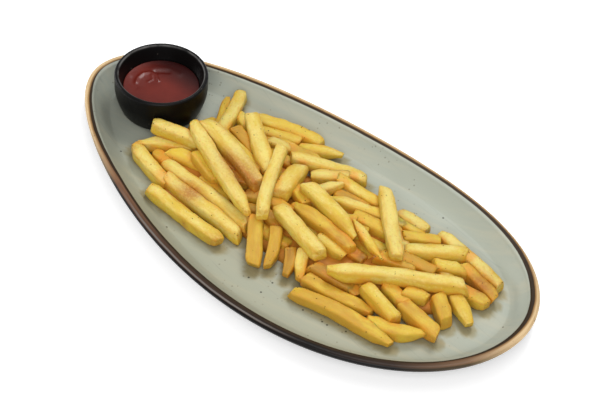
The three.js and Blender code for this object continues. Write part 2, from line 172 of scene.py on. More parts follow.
MIDDLE_FRIES = fry_rows(
    (-86, -24, 16, -6, -30, 17, 9, 0, 0.75, 0.9, 0.1, 0),
    (-111, -10, 25, -77, 1, 22, 9.5, 0, 0.85, 1, 0.1, 0),
    (-60, 41, 17, -33, 55, 15, 8.5, 0, 1, 1, 0.5, 0),
    (-48, 37, 18, -33, 43, 17, 8, 0, 1, 0.8, 0.2, 0),
    (-81, 44, 18, -62, 34, 20, 8, 0, 0.8, 1, 0.4, 0),
    (-68, 25, 24, -42, 18, 22, 9, 0, 1, 1, 1.6, 0),
    (-73, 15, 24, -28, 7, 24, 9, 0, 1, 1, 0.4, 0),
    (-24, -14, 20, -14, -7, 20, 9, 0, 1, 1, 0.5, 0),
    (-15, -20, 18, -6, -14, 18, 8, 0, 1, 1, 1.6, 0),
    (-5, -16, 18, 12, -18, 17, 9, 0, 1, 1, 1.6, 0),
    (-23, 32, 23, 22.5, 58, 14.5, 8.8, 1, 0.8, 0.8, 0.2, 0),
    (-4, 31.5, 19, 15, 50, 17, 9, 0, 0.8, 1, 0.15, 0),
    (8, 19, 21, 17, 39, 21, 7.5, 0, 1, 0.5, 0.0, 0),
    (15.5, 30.5, 17, 41, 36, 16, 8, 0, 1, 1, 1.5, 0),
    (10.5, 41.5, 18, 44, 44, 16, 9, 0, 1, 0.9, 0.5, 0),
    (17.5, 22.5, 21, 52.5, 35.5, 18, 7.5, 0, 0.4, 1, 0.35, 0),
    (-3, -25, 22, 18, -52, 14, 10, 0, 0.9, 0.9, 1.0, 0),
    (11.5, -23, 22, 26, -46, 14, 8.6, 1, 1, 0.7, 1.15, 0),
    (28.5, -28, 18, 39, -44.5, 14, 8, 1, 1, 0.6, 1.7, 0),
    (37.5, -25, 20, 46.5, -41, 14, 8.2, 0, 1, 0.6, 0.35, 0),
    (37, -11, 20, 58, -9, 19, 9.5, 0, 0.9, 0.7, 0.4, 0),
    (49, -2.5, 16, 69, -2.5, 16, 8.5, 0, 1, 1, 2.5, 0),
    (-7.5, 14, 22, 13, 6, 22, 8, 0, 1, 1, 0.85, 0),
    (48, -30, 18, 79, -24, 14, 9.5, 0, 1, 1, 2.0, 0),
    (66, -21, 16, 83, -26, 14, 8, 0, 1, 1, 1.7, 0),
    (58.5, 11.5, 16, 80.5, 16.5, 15, 9, 0, 1, 1, 0.5, 0),
    (40, 21, 19, 70, 28, 17, 10, 0, 1, 1, 0.75, 0),
    (73, 5, 20, 99, 14, 18, 9, 0, 1, 1, 0.8, 0),
    (82, 13, 20, 109, 20, 18, 9, 0, 1, 1, 1.2, 0),
    (73, 31.5, 17, 93.5, 46, 15, 8.2, 0, 1, 1, 0.7, 0),
    (84, 21, 20, 115, 47.5, 17, 9.8, 0, 0.9, 0.9, 0.35, 0),
    (104, 24, 18, 122, 36, 16, 9, 0, 1, 0.8, 0.6, 0),
    (104, -6.5, 18, 118.5, 1, 16, 8.8, 0, 1, 0.8, 0.55, 0),
    (91, -9.5, 18, 111, -12, 15, 9.5, 0, 1, 0.9, 0.6, 0),
    (84, -21.5, 21, 114.5, -27.5, 16, 9.8, 0, 0.9, 1, 0.45, 0),
)

UPPER_FRIES = fry_rows(
    (-8, -5, 20, 9, -6, 20, 9, 0, 1, 1, 0.8, 0),
    (6, 4, 18, 36, -7, 16, 9, 0, 1, 1, 0.4, 0),
    (-11, 28, 26, -4, -2, 25, 11.5, 0, 0.85, 1, 0.3, 0),
    (9.5, -1, 25, 60, -3.5, 22, 9.4, 0, 0.6, 0.7, 0.95, 0),
    (5, 14, 29, 56.5, 3, 27, 10, 1, 0.9, 0.4, 0.4, 0),
    (45, 14, 27, 79, 1, 23, 6, 0, 0.3, 0.2, 0.4, 0),
    (5, -14, 29, 50, -24, 26, 10, 0, 0.8, 0.9, 0.15, 0),
    (-84, 12, 30, -18, -6, 28, 10, 1, 0.8, 0.9, 0.12, 0),
    (-66, 40, 27, -23, 8, 28, 11, 0, 0.85, 0.6, 0.25, 0),
    (-88, 6, 29, -8, -28, 27, 9.2, -1, 0.75, 0.5, 0.08, 0),
    (42, 51, 24, 88, 6, 28, 9.5, 0, 0.8, 0.8, 0.1, 0),
    (62, -32, 26, 132.5, 22, 21, 10, 2, 0.55, 1, 0.25, 0),
    (-26, 26, 34.5, 3, -27, 31, 8.4, -2, 1, 0.9, 0.15, 0),
)

# Spots fried browner than the rest: x, y, z, how far they reach, how brown they are.
BROWNED = (
    (-57, -35, 18, 9, 0.5),
    (-50, -35, 18, 7, 0.9),
    (-52, -3, 29, 6, 0.8),
    (-44, -5, 28, 7, 1),
    (-35, -7, 28, 8, 1),
    (-27, -9, 28, 8, 1),
    (-19, -11, 28, 7, 0.8),
    (-39, -56, 14, 2.5, 0.9),
    (-12, -54, 15, 6, 0.5),
    (-110, -31, 17, 5, 0.5),
    (133, 33, 16, 10, 0.8),
    (139, 32, 14, 8, 0.7),
    (46, 1, 28, 5, 0.3),
)

# Low oval mounds under the fries.
MOUNDS = (
    Mound(26, 4, 4, 104, 38, 7.5),
    Mound(-54, -9, 6, 44, 34, 6),
)
CORE_STEPS = 72
CORE_RINGS = ((1, 0.05), (0.95, 0.5), (0.85, 0.8), (0.6, 1.0), (0.3, 1.0))  # shares of size and height


# ---------------------------------------------------------------- meshes


def loft(rings, first_middle, last_middle):
    """Points and faces of the closed skin through rings, an array of (ring, corner, xyz).

    Each ring is anticlockwise seen from the last ring's side, and each end closes onto its middle.
    """
    rings = np.asarray(rings, float)
    count, corners = rings.shape[:2]
    points = np.concatenate([rings.reshape(-1, 3), [first_middle, last_middle]])
    faces = []
    for k in range(count - 1):
        a = k * corners
        b = a + corners
        for i in range(corners):
            j = (i + 1) % corners
            faces.append((a + i, a + j, b + j, b + i))
    first_tip, last_tip = len(points) - 2, len(points) - 1
    end = (count - 1) * corners
    faces += [(first_tip, (i + 1) % corners, i) for i in range(corners)]
    faces += [(last_tip, end + i, end + (i + 1) % corners) for i in range(corners)]
    return points, faces


def new_piece(name, material, points, faces, attributes=None):
    """A smooth mesh object from points in millimetres, with a value or vector at each point."""
    mesh = bpy.data.meshes.new(name)
    mesh.from_pydata((np.asarray(points) * MM).tolist(), [], faces)
    mesh.polygons.foreach_set("use_smooth", [True] * len(mesh.polygons))
    for key, values in (attributes or {}).items():
        values = np.asarray(values, np.float32)
        if values.ndim == 1:
            layer = mesh.attributes.new(key, "FLOAT", "POINT")
            layer.data.foreach_set("value", values)
        else:
            layer = mesh.attributes.new(key, "FLOAT_VECTOR", "POINT")
            layer.data.foreach_set("vector", values.ravel())
    mesh.update()
    mesh.materials.append(material)
    piece = bpy.data.objects.new(name, mesh)
    bpy.context.scene.collection.objects.link(piece)
    return piece


def joined(parts):
    """Points, faces and attributes of many (points, faces, attributes) as one."""
    points, faces, columns = [], [], {}
    start = 0
    for part_points, part_faces, part_attributes in parts:
        points.append(part_points)
        faces += [tuple(start + i for i in face) for face in part_faces]
        for key, values in part_attributes.items():
            columns.setdefault(key, []).append(values)
        start += len(part_points)
    attributes = {key: np.concatenate(values) for key, values in columns.items()}
    return np.concatenate(points), faces, attributes


def smooth_line(points, steps):
    """A Catmull-Rom curve through 2-D points, with this many steps between neighbours."""
    points = np.asarray(points, float)
    padded = np.concatenate([[2 * points[0] - points[1]], points, [2 * points[-1] - points[-2]]])
    line = []
    for a, b, c, d in zip(padded, padded[1:], padded[2:], padded[3:]):
        for t in np.linspace(0, 1, steps, endpoint=False):
            cubic = (3 * b - a - 3 * c + d) * t**3 + (2 * a - 5 * b + 4 * c - d) * t**2
            line.append(0.5 * (cubic + (c - a) * t + 2 * b))
    line.append(points[-1])
    return np.array(line)


def ease(value, low, high):
    """0 below low, 1 above high, and a smooth step between."""
    t = np.clip((np.asarray(value, float) - low) / (high - low), 0, 1)
    return t * t * (3 - 2 * t)


# ---------------------------------------------------------------- materials


def paint(code):
    """A colour's linear values from its usual six-digit code."""
    channels = [int(code[i : i + 2], 16) / 255 for i in (1, 3, 5)]
    linear = [c / 12.92 if c <= 0.04045 else ((c + 0.055) / 1.055) ** 2.4 for c in channels]
    return (*linear, 1.0)


def socket_name(key):
    """A Principled input's name, such as Specular IOR Level for specular_ior_level."""
    return key.replace("_", " ").title().replace("Ior", "IOR")


class Shading:
    """A new Principled material, and short ways to add nodes to it."""

    def __init__(self, name, **settings):
        self.material = bpy.data.materials.new(name)
        self.material.use_nodes = True
        self.tree = self.material.node_tree
        self.shader = self.tree.nodes["Principled BSDF"]
        for key, value in settings.items():
            self.shader.inputs[socket_name(key)].default_value = value

    def add(self, kind, inputs=(), **settings):
        """A new node, with a value or another node's output at each of these inputs."""
        node = self.tree.nodes.new(kind)
        for key, value in settings.items():
            setattr(node, key, value)
        for key, value in dict(inputs).items():
            if isinstance(value, bpy.types.NodeSocket):
                self.tree.links.new(value, node.inputs[key])
            else:
                node.inputs[key].default_value = value
        return node

    def place(self):
        """Where a point is, in metres."""
        return self.add("ShaderNodeTexCoord").outputs["Object"]

    def read(self, name, vector=False):
        """What new_piece() was given for this attribute. Lengths in it are in millimetres."""
        node = self.add("ShaderNodeAttribute", attribute_name=name)
        return node.outputs["Vector" if vector else "Fac"]

    def stretch(self, vector, scale, heading=0.0):
        """The vector turned about Z by heading, in degrees, and then scaled."""
        turn = (0, 0, math.radians(heading))
        turned = self.add("ShaderNodeMapping", {"Vector": vector, "Rotation": turn})
        node = self.add("ShaderNodeMapping", {"Vector": turned.outputs["Vector"], "Scale": scale})
        return node.outputs["Vector"]

    def split(self, vector):
        node = self.add("ShaderNodeSeparateXYZ", {"Vector": vector})
        return node.outputs["X"], node.outputs["Y"], node.outputs["Z"]

    def noise(self, vector, scale, detail=3.0, roughness=0.5, distortion=0.0):
        inputs = {
            "Vector": vector,
            "Scale": scale,
            "Detail": detail,
            "Roughness": roughness,
            "Distortion": distortion,
        }
        return self.add("ShaderNodeTexNoise", inputs).outputs["Fac"]

    def dots(self, vector, scale, size):
        """1 on scattered dots of this size, as a share of the cell, and 0 elsewhere."""
        cells = self.add("ShaderNodeTexVoronoi", {"Vector": vector, "Scale": scale})
        return self.between(cells.outputs["Distance"], size, 0.6 * size)

    def math(self, operation, a, b=0.0):
        node = self.add("ShaderNodeMath", {0: a, 1: b}, operation=operation)
        return node.outputs[0]

    def between(self, value, low, high):
        """0 at low and 1 at high, with a smooth step between, whichever is greater."""
        inputs = {"Value": value, "From Min": low, "From Max": high}
        node = self.add("ShaderNodeMapRange", inputs, interpolation_type="SMOOTHSTEP")
        return node.outputs["Result"]

    def mix(self, share, a, b, blend="MIX"):
        node = self.add("ShaderNodeMix", data_type="RGBA", blend_type=blend)
        for index, value in ((0, share), (6, a), (7, b)):
            if isinstance(value, bpy.types.NodeSocket):
                self.tree.links.new(value, node.inputs[index])
            else:
                node.inputs[index].default_value = value
        return node.outputs[2]

    def coat(self, color, code, share, strength=1.0):
        """The colour with paint of this code over it, by share and strength from 0 to 1."""
        if strength < 1:
            share = self.math("MULTIPLY", share, strength)
        return self.mix(share, color, paint(code))

    def tint(self, color, code, share):
        """The colour as seen through glass of this code, by share from 0 to 1."""
        return self.mix(share, color, self.mix(1.0, color, paint(code), "MULTIPLY"))

    def bump(self, height, distance, normal=None):
        """A normal bent by height, where 1 stands for this distance in millimetres."""
        inputs = {"Height": height, "Distance": distance * MM, "Strength": 1.0}
        if normal is not None:
            inputs["Normal"] = normal
        return self.add("ShaderNodeBump", inputs).outputs["Normal"]

    def finish(self, **links):
        for key, socket in links.items():
            self.tree.links.new(socket, self.shader.inputs[socket_name(key)])
        return self.material


def plate_material():
    """Grey-green glaze with brush streaks and specks, and a tan and dark brown lip."""
    s = Shading("plate_glaze", roughness=0.42, specular_ior_level=0.18)
    place = s.place()
    strokes = s.noise(s.stretch(place, (9.0, 150.0, 60.0), STROKE_HEADING), 1.0, 5.0, 0.6, 0.4)
    rim = s.read("rim", vector=True)
    _, _, across = s.split(rim)
    wander = s.math("SUBTRACT", s.noise(s.stretch(rim, (0.05, 0.05, 0.0)), 1.0, 3.0), 0.5)
    over = s.math("ADD", across, s.math("MULTIPLY", wander, 0.9))
    to_gold = s.math("SUBTRACT", over, s.read("gold_end"))
    to_dark = s.math("SUBTRACT", over, s.read("dark_end"))
    blots = s.noise(s.stretch(rim, (0.25, 0.25, 0.6)), 1.0, 3.0, 0.6)
    dark = s.mix(blots, paint("#150d06"), paint("#3b2810"))
    color = s.mix(s.between(to_dark, 0.3, -0.3), glaze_color(s, place, strokes), dark)
    color = s.mix(s.between(to_gold, 0.4, -0.4), color, lip_color(s, rim, over, to_gold, blots))
    color = s.coat(color, "#17110d", s.between(over, -0.5, -1.3))
    rough = s.bump(s.noise(place, 900.0, 2.0), 0.02)
    return s.finish(base_color=color, normal=s.bump(strokes, 0.05, normal=rough))


def glaze_color(s, place, strokes):
    """Glaze inside the lip: clouds, brush strokes, dots, painted shadow under fries, and specks."""
    clouds = s.noise(place, 14.0, 2.0)
    hairs = s.noise(s.stretch(place, (14.0, 420.0, 60.0), -STROKE_HEADING), 1.0, 3.0, 0.6, 0.3)
    color = s.mix(clouds, paint("#a3a99e"), paint("#acb0a2"))
    color = s.coat(color, "#b4b3a1", s.between(strokes, 0.42, 0.72), 0.7)
    color = s.coat(color, "#8f978f", s.between(hairs, 0.6, 0.75), 0.5)
    fine = s.math("MULTIPLY", s.dots(place, 210.0, 0.16), s.between(clouds, 0.45, 0.6))
    color = s.coat(color, "#6b665a", fine, 0.5)
    x, y, _ = s.split(place)
    # Painted shade: the glaze darker and bluer at the narrow left end, by the pot.
    color = s.tint(color, "#dfe0e2", s.between(x, -0.09, -0.14))
    # Painted shade: the glaze a little darker and warmer towards the near side.
    color = s.tint(color, "#f3eee3", s.between(y, 0.03, -0.08))
    # Painted contact shadow: the well darker and warmer around the lowest fries, a little towards the
    # camera.
    color = s.tint(color, "#e0d2b4", s.read("painted_contact_shadow"))
    specks = 0.0
    for speck_x, speck_y in PLATE_SPECKS:
        middle = (speck_x * MM, speck_y * MM, WELL_Z * MM)
        to_speck = s.add("ShaderNodeVectorMath", {0: place, 1: middle}, operation="DISTANCE")
        near = s.between(to_speck.outputs["Value"], SPECK_RADIUS * MM, 0.5 * SPECK_RADIUS * MM)
        specks = s.math("MAXIMUM", near, specks)
    return s.coat(color, "#332f27", specks, 0.85)


def lip_color(s, rim, over, to_gold, blots):
    """The lip's gold or brown, from how far over the lip and past the gold's end a point is."""
    streaks = s.noise(s.stretch(rim, (0.06, 0.06, 1.6)), 1.0, 4.0, 0.6)
    gold = s.mix(s.between(to_gold, -1.8, -0.2), paint("#d3b68a"), paint("#8c683c"))
    gold = s.coat(gold, "#93703f", s.between(streaks, 0.45, 0.7), 0.5)
    gold = s.coat(gold, "#5b4328", s.between(blots, 0.64, 0.76))
    brown = s.mix(streaks, paint("#4a2f20"), paint("#8f664a"))
    brown_share = s.math("MULTIPLY", s.between(over, 1.4, 2.4), s.read("brown"))
    brown = s.mix(brown_share, paint("#070403"), brown)
    lip = s.mix(s.read("gold"), brown, gold)
    # A painted highlight along the lip's crest, on the near side.
    crest_highlight = s.math("MULTIPLY", s.between(over, 2.0, 2.7), s.between(over, 3.9, 3.1))
    return s.coat(lip, "#6f6862", s.math("MULTIPLY", crest_highlight, s.read("crest_highlight")))


def pot_material():
    """Satin black glaze, with a painted highlight along the inner edge of the rim."""
    s = Shading("pot_glaze", roughness=0.42, specular_ior_level=0.14)
    place = s.place()
    grain = s.noise(place, 1400.0, 3.0, 0.6)
    color = s.mix(s.noise(place, 60.0), paint("#040404"), paint("#0a0909"))
    # Painted highlight: a pale grey line along the rim's inner edge.
    rim_highlight = s.math("MULTIPLY", s.read("rim"), s.between(s.noise(place, 90.0), 0.2, 0.6))
    color = s.coat(color, "#6f6d6b", rim_highlight, 0.8)
    color = s.coat(color, "#57504a", s.dots(place, 160.0, 0.1), 0.5)
    return s.finish(base_color=color, normal=s.bump(grain, 0.03))


def ketchup_material():
    """Glossy dark red sauce, with painted shade on its far side."""
    s = Shading("ketchup", roughness=0.3, specular_ior_level=0.38)
    place = s.place()
    color = s.mix(s.noise(place, 90.0, 4.0), paint("#5a170f"), paint("#74261b"))
    _, y, _ = s.split(place)
    # Painted shade on the far side, under the pot's wall.
    color = s.tint(color, "#743c36", s.between(y, 0.02, 0.042))
    pulp = s.noise(place, 700.0, 3.0, 0.6)
    return s.finish(base_color=color, normal=s.bump(pulp, 0.05))


def fry_material():
    """Fried potato: pale to golden by its tone, with browner edges, ends and patches."""
    s = Shading("fried_potato", roughness=0.48, specular_ior_level=0.35, subsurface_weight=0.6)
    s.shader.inputs["Subsurface Scale"].default_value = 3.0 * MM
    s.shader.inputs["Subsurface Radius"].default_value = (1.0, 0.55, 0.2)
    grain = s.read("grain", vector=True)
    tone = s.read("tone")
    cloud = s.noise(s.stretch(grain, (0.35, 1.0, 1.0)), 0.15, 4.0, 0.6)
    mottle = s.noise(grain, 0.55, 4.0, 0.6)
    warmth = s.math("ADD", tone, s.math("MULTIPLY", s.math("SUBTRACT", cloud, 0.5), 1.6))
    color = s.mix(s.between(warmth, -0.1, 0.5), paint("#dfcd74"), paint("#d7ba40"))
    color = s.coat(color, "#c4992e", s.between(warmth, 0.45, 1.1))
    # Past a warmth of about 1.1 this is partly painted shade, for fries that lie in shadow.
    color = s.coat(color, "#935e0e", s.between(warmth, 1.1, 2.3))
    color = s.coat(color, "#c8992f", s.between(mottle, 0.5, 0.75), 0.5)
    blister = s.between(s.noise(grain, 0.42, 3.0, 0.6), 0.56, 0.72)
    blister = s.math("MULTIPLY", blister, s.between(warmth, 0.8, 0.1))
    color = s.coat(color, "#ead994", blister, 0.4)
    edge = s.math("MULTIPLY", s.read("edge"), s.between(cloud, 0.25, 0.6))
    color = s.coat(color, "#c99a34", edge, 0.6)
    tip = s.math("MULTIPLY", s.read("tip"), s.between(mottle, 0.3, 0.7))
    color = s.coat(color, "#c2922e", tip, 0.5)
    patch = s.between(s.noise(s.stretch(grain, (0.6, 1.0, 1.0)), 0.09, 2.0), 0.62, 0.74)
    patch = s.math("MULTIPLY", patch, s.between(tone, 0.1, 0.9))
    color = s.coat(color, "#b06a1c", patch, 0.5)
    spots = s.math("MULTIPLY", s.read("browned"), s.between(mottle, 0.1, 0.55))
    color = s.coat(color, "#a55a17", spots, 0.75)
    # Painted shade: a warm orange in the crevices where fries lie close to others.
    color = s.coat(color, "#dc8a20", s.read("crevice_shade"), 0.5)
    color = s.coat(color, "#7a5618", s.dots(grain, 0.22, 0.06), 0.6)
    pores = s.bump(s.noise(grain, 2.2, 3.0, 0.6), 0.10)
    return s.finish(base_color=color, normal=s.bump(mottle, 0.25, normal=pores))


def core_material():
    """Fried potato for the mounds inside the heap, deeper than the fries as painted shade."""
    s = Shading("potato_core", roughness=0.6)
    place = s.place()
    # Painted shade: a deeper orange-brown than the fries, for the heap's deep gaps.
    color = s.mix(s.noise(place, 90.0, 4.0), paint("#b06a14"), paint("#cc8a2a"))
    return s.finish(base_color=color, normal=s.bump(s.noise(place, 300.0, 4.0), 0.5))


def herb_material():
    """Dull brown of dried herb and pepper."""
    s = Shading("dried_herb", roughness=0.8, specular_ior_level=0.1)
    return s.finish(base_color=s.mix(s.noise(s.place(), 900.0), paint("#3f2a08"), paint("#6a4a12")))


# ---------------------------------------------------------------- dish


def dish_outline(inset, z):
    """The dish's outline, moved in by inset, at height z."""
    turn = np.linspace(0, 2 * math.pi, DISH_STEPS, endpoint=False)
    c, s = np.cos(turn), np.sin(turn)
    sides = [middle + slope * c + swell * c * c for middle, slope, swell in (FAR_SIDE, NEAR_SIDE)]
    half_width = np.where(s >= 0, *sides) - inset
    x = (DISH_HALF_LENGTH - inset) * c
    return np.stack([x, DISH_AXIS_Y + half_width * s, np.full(DISH_STEPS, z)], axis=-1)


def wall_z(inset):
    """Height of the dish's inner wall, from the lip down to the well."""
    rise = (WALL_WIDTH - inset) / (WALL_WIDTH - LIP_WIDTH)
    return WELL_Z + (LIP_Z - LIP_DROP - WELL_Z) * max(rise, 0) ** WALL_CURVE


def make_plate():
    wall = [(inset, wall_z(inset)) for inset in WALL_INSETS]
    lip_and_wall = smooth_line([*DISH_LIP, *wall], 5)[1:]
    well = [(inset, WELL_Z) for inset in WELL_INSETS]
    profile = np.concatenate([[*DISH_OUTSIDE, DISH_LIP[0]], lip_and_wall, well])
    rings = [dish_outline(inset, z) for inset, z in profile]
    points, faces = loft(rings, (0, DISH_AXIS_Y, UNDERSIDE_Z), (0, DISH_AXIS_Y, WELL_Z))

    lengths = np.cumsum(np.hypot(*np.diff(profile, axis=0, prepend=profile[:1]).T))
    along = lengths - lengths[np.argmin(profile[:, 0])]
    far_before, far_after = -99, 99  # the two middles are far from the lip on either side
    across = np.concatenate([np.repeat(along, DISH_STEPS), [far_before, far_after]])
    attributes = {"rim": np.column_stack([points[:, :2], across]), "painted_contact_shadow": contact_shadow_share(points)}

    turn = np.linspace(0, 360, DISH_STEPS, endpoint=False)
    stations = np.arange(0, 361, 20)
    fade_in, fade_out = CREST_HIGHLIGHT_FADES
    round_the_dish = {
        "gold": np.interp(turn, stations, GOLD_SHARE),
        "brown": np.interp(turn, stations, BROWN_SHARE),
        "gold_end": np.interp(turn, stations, GOLD_END),
        "dark_end": np.interp(turn, stations, DARK_END),
        "crest_highlight": ease(turn, *fade_in) * (1 - ease(turn, *fade_out)),
    }
    for name, values in round_the_dish.items():
        attributes[name] = np.concatenate([np.tile(values, len(profile)), [0, 0]])
    piece = new_piece("stoneware_plate", plate_material(), points, faces, attributes)
    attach(piece, "root")
    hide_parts("plate")


def contact_shadow_share(points):
    """How much painted contact shadow each point of the well gets from the fries on it, from 0 to 1.
    """
    balls = np.concatenate([beads(fry) for fry in LOWEST_FRIES + MIDDLE_FRIES])
    balls = balls[balls[:, 2] < SHADOW_CASTERS_BELOW] + (*CONTACT_SHADOW_SHIFT, 0, 0)
    balls[:, 2] = WELL_Z
    return 1 - ease(room_to(points, balls), -0.5, CONTACT_SHADOW_REACH)


# ---------------------------------------------------------------- pot and ketchup

POT_LOW, POT_HIGH = (np.array(corner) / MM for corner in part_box("dip_pot"))
POT_MIDDLE = (POT_LOW + POT_HIGH) / 2
POT_BASE_Z = POT_LOW[2]
POT_RADIUS = (POT_HIGH[0] - POT_LOW[0]) / 2
POT_HEIGHT = POT_HIGH[2] - POT_BASE_Z
POT_MOUTH_RADIUS = POT_RADIUS - 3.2
POT_FLOOR_Z = 4.5  # above the pot's base, as are all heights here
POT_STEPS = 160
# Radius and height, up the outside, over the rim and down the inside.
POT_OUTSIDE = ((24.5, 0), (27.4, 1.6), (29.2, 5.5), (30.9, 11), (32, 17), (32.1, 24), (32.2, 28.2))
POT_RIM = ((31.9, 29.3), (31.2, 29.9), (30.4, 30), (29.6, 29.6), (POT_MOUTH_RADIUS, 28.6))
POT_INSIDE = ((27.6, 24), (26.3, 18.2), (25.3, 13), (22.5, 7.5), (18, 5), (14, POT_FLOOR_Z))
# Where the painted highlight on the rim runs, as radius and height, and how far it spreads.
RIM_HIGHLIGHT_EDGE = (29.5, POT_HEIGHT - 0.5)
RIM_HIGHLIGHT_REACH = 0.6
KETCHUP_LOW_Z = 4.8
KETCHUP_SIDE = ((14, KETCHUP_LOW_Z), (22.2, 7.8), (25, 13.3))  # radius and height
KETCHUP_Z = 18.2
KETCHUP_RADIUS = 26.0
KETCHUP_RINGS = (1.0, 0.985, 0.96, *np.linspace(0.93, 0.03, 31))  # of its surface, as shares
KETCHUP_CLING = 0.5  # how much higher it stands along the pot's wall
KETCHUP_MARKS = (  # rise, width and line, from the pot's axis
    (0.8, 1.1, ((-15, -10), (-17.5, -5), (-18, 0.5), (-15, 5), (-10, 5.5), (-5.5, 2.5))),
    (0.5, 0.9, ((-12, 3), (-9, 0.5), (-10, -3))),
    (-0.6, 1.6, ((-13, 8), (-10, 11), (-6, 14))),
    (-0.5, 2.0, ((-20, -8), (-16, -12), (-11, -13))),
    (-0.5, 4.5, ((-11, -3), (-8, -6))),
    (0.3, 3.0, ((-16, 11), (-9, 16), (0, 17))),
)


def circle(radius, z):
    """A ring about the pot's axis, with z above the pot's base as a number or one for each point."""
    turn = np.linspace(0, 2 * math.pi, POT_STEPS, endpoint=False)
    x = POT_MIDDLE[0] + radius * np.cos(turn)
    y = POT_MIDDLE[1] + radius * np.sin(turn)
    return np.stack([x, y, POT_BASE_Z + np.broadcast_to(z, POT_STEPS)], axis=-1)


def on_axis(z):
    """The point on the pot's axis with this z above the pot's base."""
    return (POT_MIDDLE[0], POT_MIDDLE[1], POT_BASE_Z + z)


def make_pot():
    profile = smooth_line([*POT_OUTSIDE, *POT_RIM, *POT_INSIDE], 5)
    profile[:, 0] = np.minimum(profile[:, 0], POT_RADIUS)
    profile[:, 1] = np.clip(profile[:, 1], 0, POT_HEIGHT)
    rings = [circle(radius, z) for radius, z in profile]
    points, faces = loft(rings, on_axis(0), on_axis(POT_FLOOR_Z))
    # The rim attribute holds the painted highlight along the rim's inner edge.
    from_edge = np.hypot(profile[:, 0] - RIM_HIGHLIGHT_EDGE[0], profile[:, 1] - RIM_HIGHLIGHT_EDGE[1])
    rim_highlight = np.concatenate([np.repeat(bell(from_edge, RIM_HIGHLIGHT_REACH), POT_STEPS), [0, 0]])
    piece = new_piece("dip_pot_black", pot_material(), points, faces, {"rim": rim_highlight})
    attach(piece, "root")
    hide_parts("dip_pot")


def bell(distance, width):
    """1 at no distance, falling smoothly to about 0 at twice the width."""
    return np.exp(-((distance / width) ** 2))


def distance_to_line(x, y, line):
    """Distance from points to a line through corners."""
    nearest = np.full(np.shape(x), np.inf)
    for (ax, ay), (bx, by) in zip(line, line[1:]):
        dx, dy = bx - ax, by - ay
        share = np.clip(((x - ax) * dx + (y - ay) * dy) / (dx * dx + dy * dy), 0, 1)
        nearest = np.minimum(nearest, np.hypot(x - ax - share * dx, y - ay - share * dy))
    return nearest


def ketchup_relief(x, y):
    """Height of the marks that a spoon left: ridges and grooves along short lines."""
    height = np.zeros(np.shape(x))
    for rise, width, line in KETCHUP_MARKS:
        height = height + rise * bell(distance_to_line(x, y, line), width)
    return height


def make_ketchup():
    rings = [circle(radius, z) for radius, z in KETCHUP_SIDE]
    for share in KETCHUP_RINGS:
        flat = circle(KETCHUP_RADIUS * share, 0)
        relief = ketchup_relief(*(flat[:, :2] - POT_MIDDLE[:2]).T)
        level = KETCHUP_Z + KETCHUP_CLING * share**8
        rings.append(circle(KETCHUP_RADIUS * share, level + relief * (1 - share**6)))
    top = on_axis(KETCHUP_Z + float(ketchup_relief(0.0, 0.0)))
    points, faces = loft(rings, on_axis(KETCHUP_LOW_Z), top)
    piece = new_piece("ketchup_fill", ketchup_material(), points, faces)
    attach(piece, "root")
    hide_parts("ketchup")


# ---------------------------------------------------------------- fries


def sideways(along):
    """The level unit vector square to along."""
    level = np.array([-along[1], along[0], 0.0])
    return level / np.linalg.norm(level)


def fry_axes(fry):
    """The fry's length, and its unit vectors along, across and up through its sides."""
    start, end = np.array(fry.start, float), np.array(fry.end, float)
    length = np.linalg.norm(end - start)
    along = (end - start) / length
    level = sideways(along)
    raised = np.cross(along, level)
    c, s = math.cos(math.radians(fry.roll)), math.sin(math.radians(fry.roll))
    return length, along, c * level + s * raised, c * raised - s * level


def bar_outline(rng):
    """Corners of a fry's section within -1 to 1: a square with sunken sides and uneven corners."""
    turn = np.arange(FRY_SIDES) / FRY_SIDES * 2 * math.pi
    angle = turn + 0.1 * np.sin(4 * turn)
    first, second = rng.uniform(0, 2 * math.pi, 2)
    power = rng.uniform(4.2, 6.5) + 1.0 * np.cos(angle + first) + 0.8 * np.cos(2 * angle + second)
    cosine, sine = np.cos(angle), np.sin(angle)
    reach = (np.abs(cosine) ** power + np.abs(sine) ** power) ** (-1 / power)
    reach = reach * (1 - rng.uniform(0.0, 0.03) * np.cos(2 * angle) ** 2)
    flatness = rng.uniform(0.86, 1.0, 2)
    return np.stack([cosine, sine], axis=-1) * reach[:, None] * flatness / flatness.max()


def ring_places(length, width):
    """How far along a fry its rings are, closer together near its ends."""
    near_end = width * np.array(NEAR_END_RINGS)
    inner = np.linspace(0.6 * width, length - 0.6 * width, max(3, int(length / FRY_RING_STEP)))
    return np.concatenate([near_end, inner, length - near_end[::-1]])


